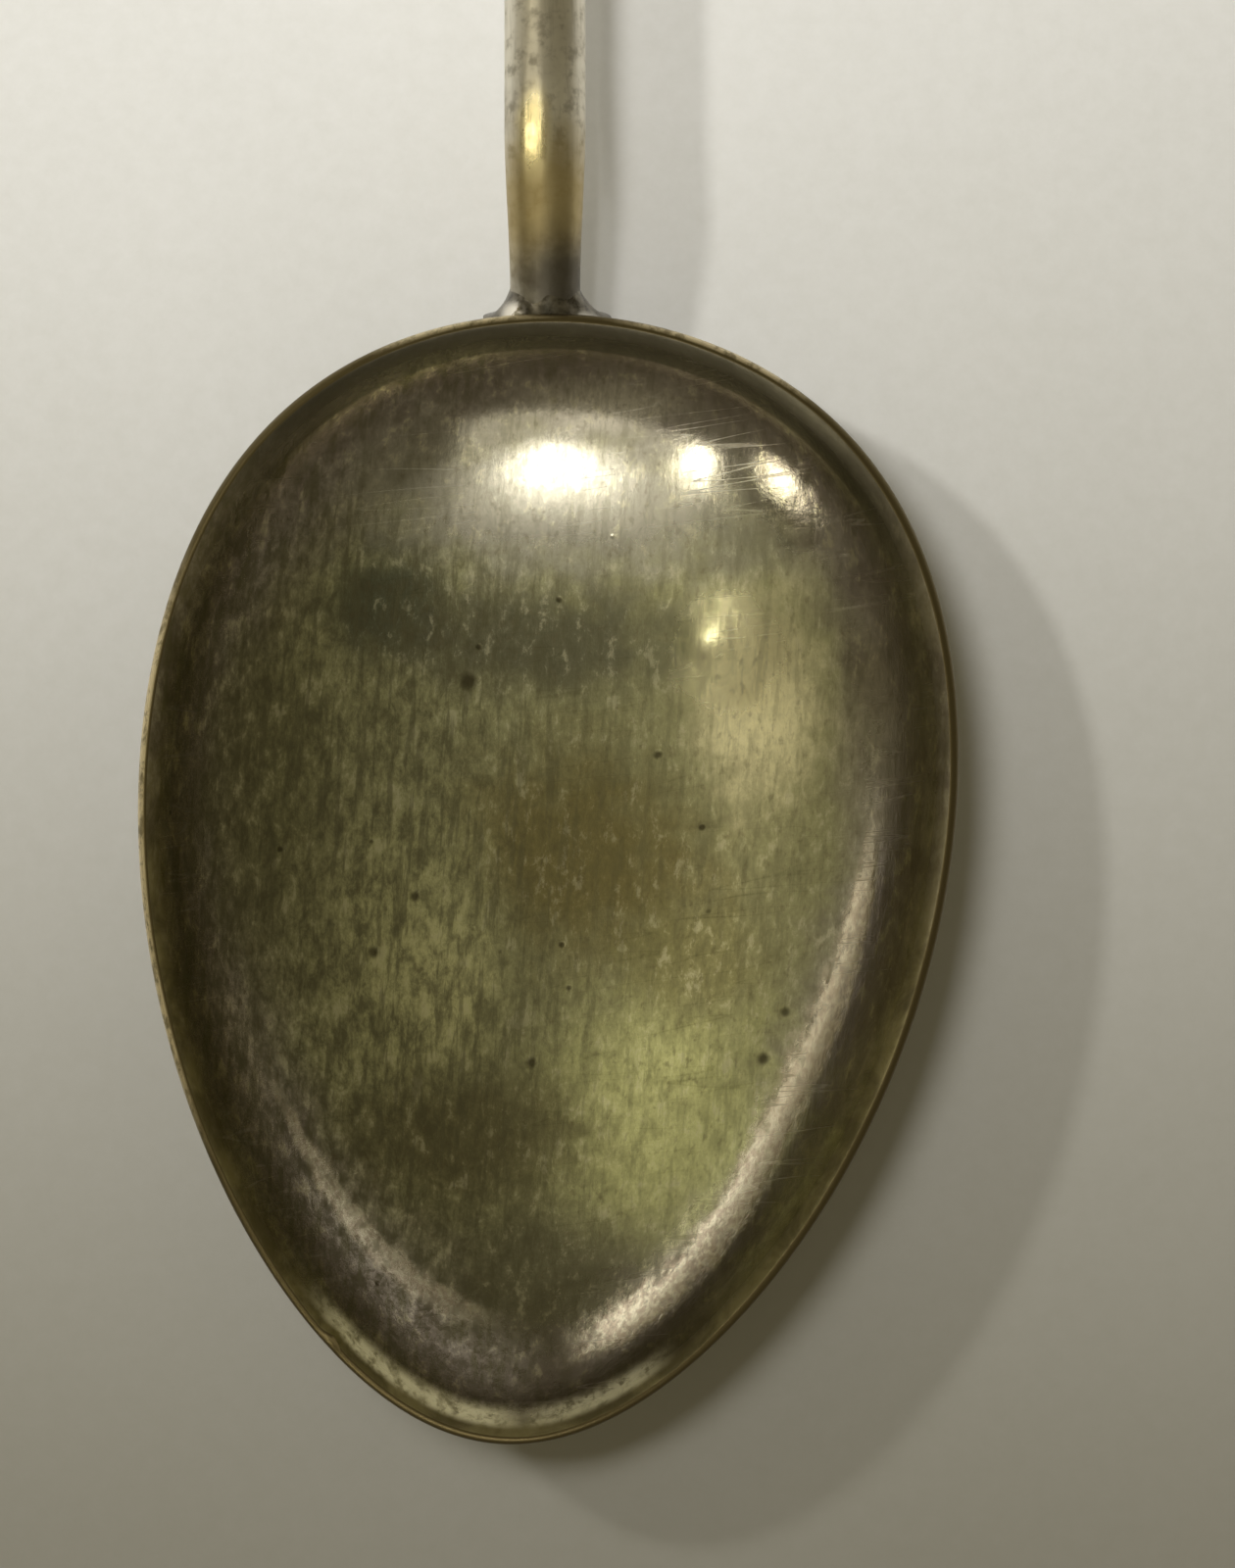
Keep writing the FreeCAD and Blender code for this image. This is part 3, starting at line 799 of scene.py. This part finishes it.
def with_lip(recipe, base):
    """Turns the rim's inner edge to dull brass, and paints shade on it at the heel."""
    lip = recipe.times(recipe.ramp(recipe.share, 0.075, 0.02),
                       recipe.ramp(recipe.to_heel, 0.35, -0.3, 0.35, 0.85))
    colour = recipe.mix(recipe.ramp(recipe.cloud, 0.4, 0.6), (0.22, 0.19, 0.09), (0.40, 0.35, 0.17))
    base = recipe.mix(lip, base, colour)
    # painted shade on the rim's inner edge at the heel
    painted_heel_shade = recipe.times(recipe.sector(0, 34, 60), recipe.ramp(recipe.share, 0.16, 0.05))
    return recipe.tinted(base, painted_heel_shade, 0.9, (0.12, 0.11, 0.085))


def bowl_outside(recipe, dirt):
    """The shell's outside, with painted shade just under the rim."""
    base = recipe.mix(recipe.ramp(recipe.cloud, 0.38, 0.64), (0.30, 0.27, 0.19), (0.58, 0.55, 0.46))
    base = recipe.tinted(base, dirt, 0.7, (0.16, 0.14, 0.08))
    # painted shade just under the rim
    return recipe.mix(recipe.ramp(recipe.share, -0.12, -0.02), base, (0.15, 0.12, 0.06))


def rim_brass_shine(recipe):
    """A thin bright line on the rim's outer corner, on the left and by the joint: worn brass with a painted
    highlight.
    """
    near_joint = recipe.most(recipe.sector(346, 3, 12), recipe.sector(16, 3, 14))
    # painted highlight over worn brass along the rim's outer corner
    brass_shine = recipe.most(recipe.sector(270, 16, 34), recipe.times(near_joint, 0.7))
    brass_shine = recipe.times(brass_shine, recipe.belt(-0.024, 0.006, 0.006))
    return recipe.times(brass_shine, recipe.ramp(recipe.mottle, 0.62, 0.46, 0.3, 1.0))


def fine_scratches(recipe):
    """Fine scratches in slightly bent lines across the bowl, in patches."""
    arcs = recipe.about(BOWL_X, BOWL_Y + 10.0, (9.0, 0.5, 9.0), math.radians(-7))
    lines = recipe.math("ABSOLUTE", recipe.minus(recipe.noise(arcs, 1.0, 1.0, 0.4), 0.5))
    return recipe.times(recipe.ramp(lines, 0.014, 0.003), recipe.ramp(recipe.drift, 0.42, 0.6))


def bowl_roughness(recipe, floor_share, dirt, shiny, scratched):
    """Smoother on the wall and in the shiny patches, duller on the floor, the dirt and the rim."""
    dull = recipe.plus(recipe.ramp(floor_share, 0.0, 1.0, 0.19, 0.42), recipe.times(dirt, 0.2))
    dull = recipe.minus(dull, recipe.times(shiny, 0.24))
    dull = recipe.plus(recipe.most(dull, 0.13), recipe.times(scratched, 0.15))
    return recipe.most(dull, recipe.times(recipe.belt(0.0, 0.03, 0.04), 0.38))


def bowl_height(recipe, smooth, scratched, pits):
    """The fine relief: mottle and streaks, flatter where the plate is smooth, with the pits sunk in."""
    height = recipe.plus(recipe.mottle, recipe.times(recipe.streaks, 0.5))
    height = recipe.minus(height, recipe.times(scratched, 0.05))
    height = recipe.times(height, recipe.ramp(smooth, 0.0, 1.0, 1.0, 0.18))
    return recipe.minus(height, recipe.times(pits, 1.5))


def bowl_metal():
    """Worn silver plate over brass: grey-brown walls, a brassy floor and mottled tarnish, with painted
    reflections, highlights and shade.
    """
    recipe = BowlRecipe("worn_plate_bowl")
    wavy = recipe.plus(recipe.share, recipe.times(recipe.minus(recipe.cloud, 0.5), 0.2))
    floor_share = recipe.ramp(wavy, 0.34, 0.54)
    shiny = recipe.most(recipe.blotch(0.6, 13.0, 12.5, 4.4, 0, 0.3),
                        recipe.blotch(6.0, 7.2, 3.4, 3.6, 0, 0.3))
    left_side = recipe.times(recipe.ramp(recipe.axis(recipe.local, "X"), 4.0, -6.0, 0.32, 0.78),
                             recipe.ramp(shiny, 0.0, 1.0, 1.0, 0.45))
    dirt = recipe.times(recipe.ramp(recipe.mottle, 0.38, 0.66), left_side)
    reflection_bands = painted_reflection_bands(recipe)
    tip_highlight = painted_tip_highlight(recipe)
    pits = bowl_pits(recipe)
    base = tarnished(recipe, bowl_ground(recipe, floor_share), dirt, left_side)
    base = with_painted_reflections(recipe, base, reflection_bands)
    base = recipe.tinted(base, pits, 0.75, (0.05, 0.04, 0.02))
    # painted highlight just inside the rim at the tip
    base = recipe.mix(tip_highlight, with_lip(recipe, base), (0.90, 0.84, 0.55))
    base = recipe.mix(recipe.ramp(recipe.share, -0.006, 0.003), bowl_outside(recipe, dirt), base)
    recipe.set("Base Color", recipe.mix(rim_brass_shine(recipe), base, (0.90, 0.78, 0.52)))
    recipe.set("Metallic", recipe.minus(1.0, recipe.times(tip_highlight, 0.6)))
    scratched = fine_scratches(recipe)
    recipe.set("Roughness", bowl_roughness(recipe, floor_share, dirt, shiny, scratched))
    smooth = recipe.most(shiny, recipe.times(reflection_bands, 0.85))
    recipe.set("Normal", recipe.bump(bowl_height(recipe, smooth, scratched, pits), 0.35, 0.04))
    return recipe.material


def stem_metal():
    """Silver grey plate, worn through to brass at the neck, with a painted highlight on the neck and
    painted shade beside the solder.
    """
    recipe = Recipe("worn_plate_stem")
    fine = recipe.noise(recipe.place, 2.0, 5.0, 0.62)
    cloud = recipe.noise(recipe.place, 0.5, 4.0, 0.6)
    long_marks = recipe.noise(recipe.about(0.0, 0.0, (1.0, 9.0, 1.0)), 4.0, 4.0, 0.6)
    base = recipe.mix(recipe.ramp(cloud, 0.35, 0.65), (0.78, 0.74, 0.63), (0.62, 0.58, 0.49))
    base = recipe.tinted(base, recipe.ramp(fine, 0.48, 0.7), 0.5, (0.24, 0.21, 0.15))
    base = recipe.tinted(base, recipe.ramp(long_marks, 0.5, 0.7), 0.3, (0.3, 0.27, 0.2))
    neck = recipe.spot(BOWL_X + 0.2, BOWL_Y + 21.4, 4.0, 3.4, 0.0, 0.5)
    base = recipe.tinted(base, neck, 0.85, (0.44, 0.34, 0.14))
    # painted highlight: a bright gold spot where the neck is rubbed smooth
    painted_shine = recipe.spot(BOWL_X - 0.25, BOWL_Y + 23.7, 0.75, 2.0, 0.0, 0.3)
    base = recipe.mix(painted_shine, base, (0.95, 0.84, 0.50))
    # painted shade on the stem beside the solder
    painted_joint_shade = recipe.spot(BOWL_X + 0.6, BOWL_Y + 18.8, 2.2, 2.6, 0.0, 0.5)
    base = recipe.tinted(base, painted_joint_shade, 0.9, (0.10, 0.09, 0.075))
    recipe.set("Base Color", base)
    recipe.shader.inputs["Metallic"].default_value = 1.0
    near_bowl = recipe.spot(BOWL_X, BOWL_Y + 21.0, 12.0, 13.0)
    dull = recipe.ramp(fine, 0.3, 0.75, 0.22, 0.36)
    dull = recipe.plus(dull, recipe.times(near_bowl, 0.18))
    dull = recipe.minus(dull, recipe.times(painted_shine, 0.26))
    recipe.set("Roughness", recipe.most(dull, 0.2))
    recipe.set("Normal", recipe.bump(recipe.plus(fine, long_marks), 0.16, 0.03))
    return recipe.material


def solder_metal():
    """Dull grey solder; the beads where it ran out beside the foot are brighter tin with a painted
    highlight.
    """
    recipe = Recipe("dull_solder")
    fine = recipe.noise(recipe.place, 2.4, 5.0, 0.6)
    base = recipe.mix(recipe.ramp(fine, 0.38, 0.66), (0.10, 0.09, 0.07), (0.24, 0.22, 0.18))
    # painted highlight on the solder beads, over brighter tin
    right_bead = recipe.spot(BOWL_X + 1.45, BOWL_Y + 17.75, 0.55, 0.4)
    left_bead = recipe.spot(BOWL_X - 0.95, BOWL_Y + 17.95, 0.5, 0.55)
    bead_shine = recipe.most(left_bead, recipe.times(right_bead, 0.6))
    base = recipe.mix(bead_shine, base, (0.95, 0.90, 0.80))
    recipe.set("Base Color", base)
    recipe.shader.inputs["Metallic"].default_value = 1.0
    dull = recipe.ramp(fine, 0.3, 0.7, 0.24, 0.38)
    recipe.set("Roughness", recipe.minus(dull, recipe.times(bead_shine, 0.1)))
    recipe.set("Normal", recipe.bump(fine, 0.25, 0.04))
    return recipe.material


def medal_metal():
    """Silver plate with darker fine mottling and brass showing here and there."""
    recipe = Recipe("worn_plate_medal")
    fine = recipe.noise(recipe.place, 1.6, 5.0, 0.65)
    cloud = recipe.noise(recipe.place, 0.35, 3.0, 0.6)
    base = recipe.mix(recipe.ramp(cloud, 0.4, 0.62), (0.80, 0.76, 0.66), (0.72, 0.60, 0.36))
    base = recipe.tinted(base, recipe.ramp(fine, 0.5, 0.72), 0.5, (0.30, 0.26, 0.17))
    recipe.set("Base Color", base)
    recipe.shader.inputs["Metallic"].default_value = 1.0
    recipe.set("Roughness", recipe.ramp(fine, 0.3, 0.7, 0.2, 0.36))
    recipe.set("Normal", recipe.bump(fine, 0.15, 0.03))
    return recipe.material


def enamel(name, deep, light):
    """Glossy vitreous enamel: slightly cloudy colour, a few pinholes and a gently wavy surface."""
    recipe = Recipe(name)
    cloud = recipe.noise(recipe.place, 0.35, 3.0, 0.5)
    base = recipe.mix(recipe.ramp(cloud, 0.3, 0.7), deep, light)
    pinholes = recipe.ramp(recipe.cells(recipe.place, 0.9), 0.05, 0.02)
    base = recipe.tinted(base, pinholes, 0.6, (0.02, 0.02, 0.02))
    recipe.set("Base Color", base)
    recipe.shader.inputs["Coat Weight"].default_value = 1.0
    recipe.shader.inputs["Coat Roughness"].default_value = 0.05
    recipe.set("Roughness", recipe.ramp(cloud, 0.3, 0.7, 0.16, 0.26))
    recipe.set("Normal", recipe.bump(recipe.noise(recipe.place, 0.8, 2.0), 0.15, 0.05))
    return recipe.material


def paper():
    """The sheet: off-white paper with a faint grain, with painted shade that darkens it towards the bowl's
    tip.
    """
    recipe = Recipe("pale_sheet")
    grain = recipe.noise(recipe.place, 1.4, 6.0, 0.7)
    cloud = recipe.noise(recipe.place, 0.05, 3.0)
    tone = recipe.plus(recipe.times(grain, 0.12), recipe.times(cloud, 0.1))
    base = recipe.mix(recipe.ramp(tone, 0.05, 0.17), (0.67, 0.66, 0.62), (0.74, 0.73, 0.70))
    # painted shade: the sheet grows darker towards the bowl's tip
    away = recipe.ramp(recipe.axis(recipe.place, "Y"), -5.0, -66.0, 0.0, 0.6)
    base = recipe.mix(away, base, (0.27, 0.25, 0.175))
    recipe.set("Base Color", base)
    recipe.shader.inputs["Roughness"].default_value = 0.9
    recipe.shader.inputs["Specular IOR Level"].default_value = 0.2
    recipe.set("Normal", recipe.bump(grain, 0.2, 0.05))
    return recipe.material


# ---------------------------------------------------------------- stage

def floor():
    """The flat sheet that the spoon lies on."""
    corners = ((-1, -1), (1, -1), (1, 1), (-1, 1))
    points = [(x * SHEET_HALF, y * SHEET_HALF, SHEET_TOP) for x, y in corners]
    sheet = mesh_piece("sheet", points, [(0, 1, 2, 3)], paper())
    return sheet


def hung(name, data, azimuth, elevation, distance, aim):
    """Hangs a light in a direction from the bowl and turns it to a point; azimuth runs from +X to +Y."""
    light = bpy.data.objects.new(name, data)
    bpy.context.scene.collection.objects.link(light)
    turn = math.radians(azimuth)
    rise = math.radians(elevation)
    away = Vector((math.cos(rise) * math.cos(turn), math.cos(rise) * math.sin(turn), math.sin(rise)))
    place = Vector((BOWL_X, BOWL_Y, 2.0)) + away * distance
    light.location = place * MM
    light.rotation_euler = (place - Vector(aim)).to_track_quat("Z", "Y").to_euler()
    light.visible_camera = False
    return light


def soft_box(name, azimuth, elevation, width, height, radiance, colour):
    """A soft box that shows only as a reflection in the metal; sizes in degrees."""
    data = bpy.data.lights.new(name, "AREA")
    data.shape = "ELLIPSE" if width < 20 else "RECTANGLE"
    data.size = 2 * SOFT_BOX_DISTANCE * math.tan(math.radians(width / 2)) * MM
    data.size_y = 2 * SOFT_BOX_DISTANCE * math.tan(math.radians(height / 2)) * MM
    area = data.size * data.size_y * (math.pi / 4 if data.shape == "ELLIPSE" else 1.0)
    data.energy = radiance * math.pi * area
    data.color = colour
    light = hung(name, data, azimuth, elevation, SOFT_BOX_DISTANCE, (BOWL_X, BOWL_Y, 2.0))
    light.visible_diffuse = False
    return light


def pool_of_light(name, azimuth, elevation, radius, reach, power, colour):
    """A soft spotlight on the sheet, brightest beside the handle and fading towards the bowl's tip."""
    data = bpy.data.lights.new(name, "SPOT")
    data.energy = power
    data.color = colour
    data.shadow_soft_size = radius * MM
    data.spot_size = 2 * math.atan(reach / POOL_DISTANCE)
    data.spot_blend = 1.0
    light = hung(name, data, azimuth, elevation, POOL_DISTANCE, POOL_AIM)
    light.visible_glossy = False
    return light


def lights():
    """Dim warm room, a soft pool of light on the sheet, and soft boxes that the metal reflects."""
    world = bpy.data.worlds.new("room")
    world.use_nodes = True
    world.node_tree.nodes["Background"].inputs["Color"].default_value = (1.0, 0.89, 0.58, 1.0)
    world.node_tree.nodes["Background"].inputs["Strength"].default_value = 0.2
    bpy.context.scene.world = world
    pool_of_light("pool", 130.0, 72.0, 60.0, 150.0, 7.25, (1.0, 1.0, 1.0))
    pool_of_light("key", 148.0, 46.5, 16.0, 160.0, 2.65, (1.0, 1.0, 0.98))
    warm = (1.0, 0.95, 0.80)
    soft_box("front_window", -92.0, 51.0, 11.5, 9.0, 8.0, (1.0, 0.97, 0.88))
    soft_box("front_glow", -95.0, 48.5, 34.0, 26.0, 0.72, warm)
    soft_box("front_lamp", -119.0, 40.0, 3.8, 13.5, 11.0, warm)
    soft_box("side_lamp", -136.5, 24.5, 9.5, 10.0, 7.5, (1.0, 0.95, 0.72))
    soft_box("high_lamp", -150.0, 62.0, 5.0, 5.0, 14.0, warm)
    soft_box("back_window", 143.0, 18.0, 56.0, 9.0, 1.05, (1.0, 0.96, 0.86))
    soft_box("back_right", 62.0, 19.0, 56.0, 8.0, 0.6, (1.0, 0.96, 0.88))
    soft_box("left_lamp", 168.0, 53.0, 8.0, 8.0, 4.6, (1.0, 0.91, 0.66))
    soft_box("haze_lamp", 140.0, 54.0, 16.0, 14.0, 2.6, warm)
    soft_box("ceiling", -60.0, 80.0, 22.0, 16.0, 0.25, (0.95, 1.0, 0.95))
    bpy.context.scene.view_settings.view_transform = "Standard"


def camera():
    """Looks straight down, from a little to the right of the bowl's middle and towards the handle."""
    data = bpy.data.cameras.new("camera")
    data.sensor_width = 36.0
    data.lens = data.sensor_width * CAMERA_DISTANCE / VIEW_HEIGHT
    data.clip_start = 0.01
    data.clip_end = 20.0
    view = bpy.data.objects.new("camera", data)
    bpy.context.scene.collection.objects.link(view)
    view.location = ((BOWL_X + VIEW_X) * MM, (BOWL_Y + VIEW_Y) * MM,
                     (CAMERA_DISTANCE + RIM_HEIGHT) * MM)
    bpy.context.scene.camera = view


# ---------------------------------------------------------------- whole scene

def main():
    """Builds the finer pieces over the CAD nodes, finishes the rest, and sets the stage."""
    trim = bowl_blank()
    bowl = build_bowl(bowl_metal())
    stem = build_stem(stem_metal(), trim)
    solder = build_solder(solder_metal(), trim, stem)
    bpy.data.objects.remove(trim)
    for piece, node, slot in ((bowl, "bowl", "bowl_plate"), (stem, "stem", "stem_plate"),
                              (solder, "heel_solder", "solder")):
        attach(piece, "root")
        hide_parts(node)
    finishes = {
        "medallion": medal_metal(),
        "medallion_solder": solder_metal(),
        "enamel_sky": enamel("enamel_sky", (0.07, 0.25, 0.50), (0.13, 0.35, 0.58)),
        "enamel_sun": enamel("enamel_sun", (0.72, 0.33, 0.01), (0.80, 0.42, 0.02)),
        "enamel_mountain": enamel("enamel_mountain", (0.02, 0.03, 0.13), (0.04, 0.055, 0.19)),
        "enamel_snow": enamel("enamel_snow", (0.60, 0.62, 0.62), (0.72, 0.72, 0.69)),
        "enamel_hill": enamel("enamel_hill", (0.005, 0.075, 0.025), (0.015, 0.13, 0.04)),
        "enamel_lake": enamel("enamel_lake", (0.0, 0.035, 0.16), (0.01, 0.08, 0.27)),
    }
    for node, material in finishes.items():
        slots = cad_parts[node].data.materials
        slots.clear()
        slots.append(material)
    floor()
    lights()
    camera()


main()
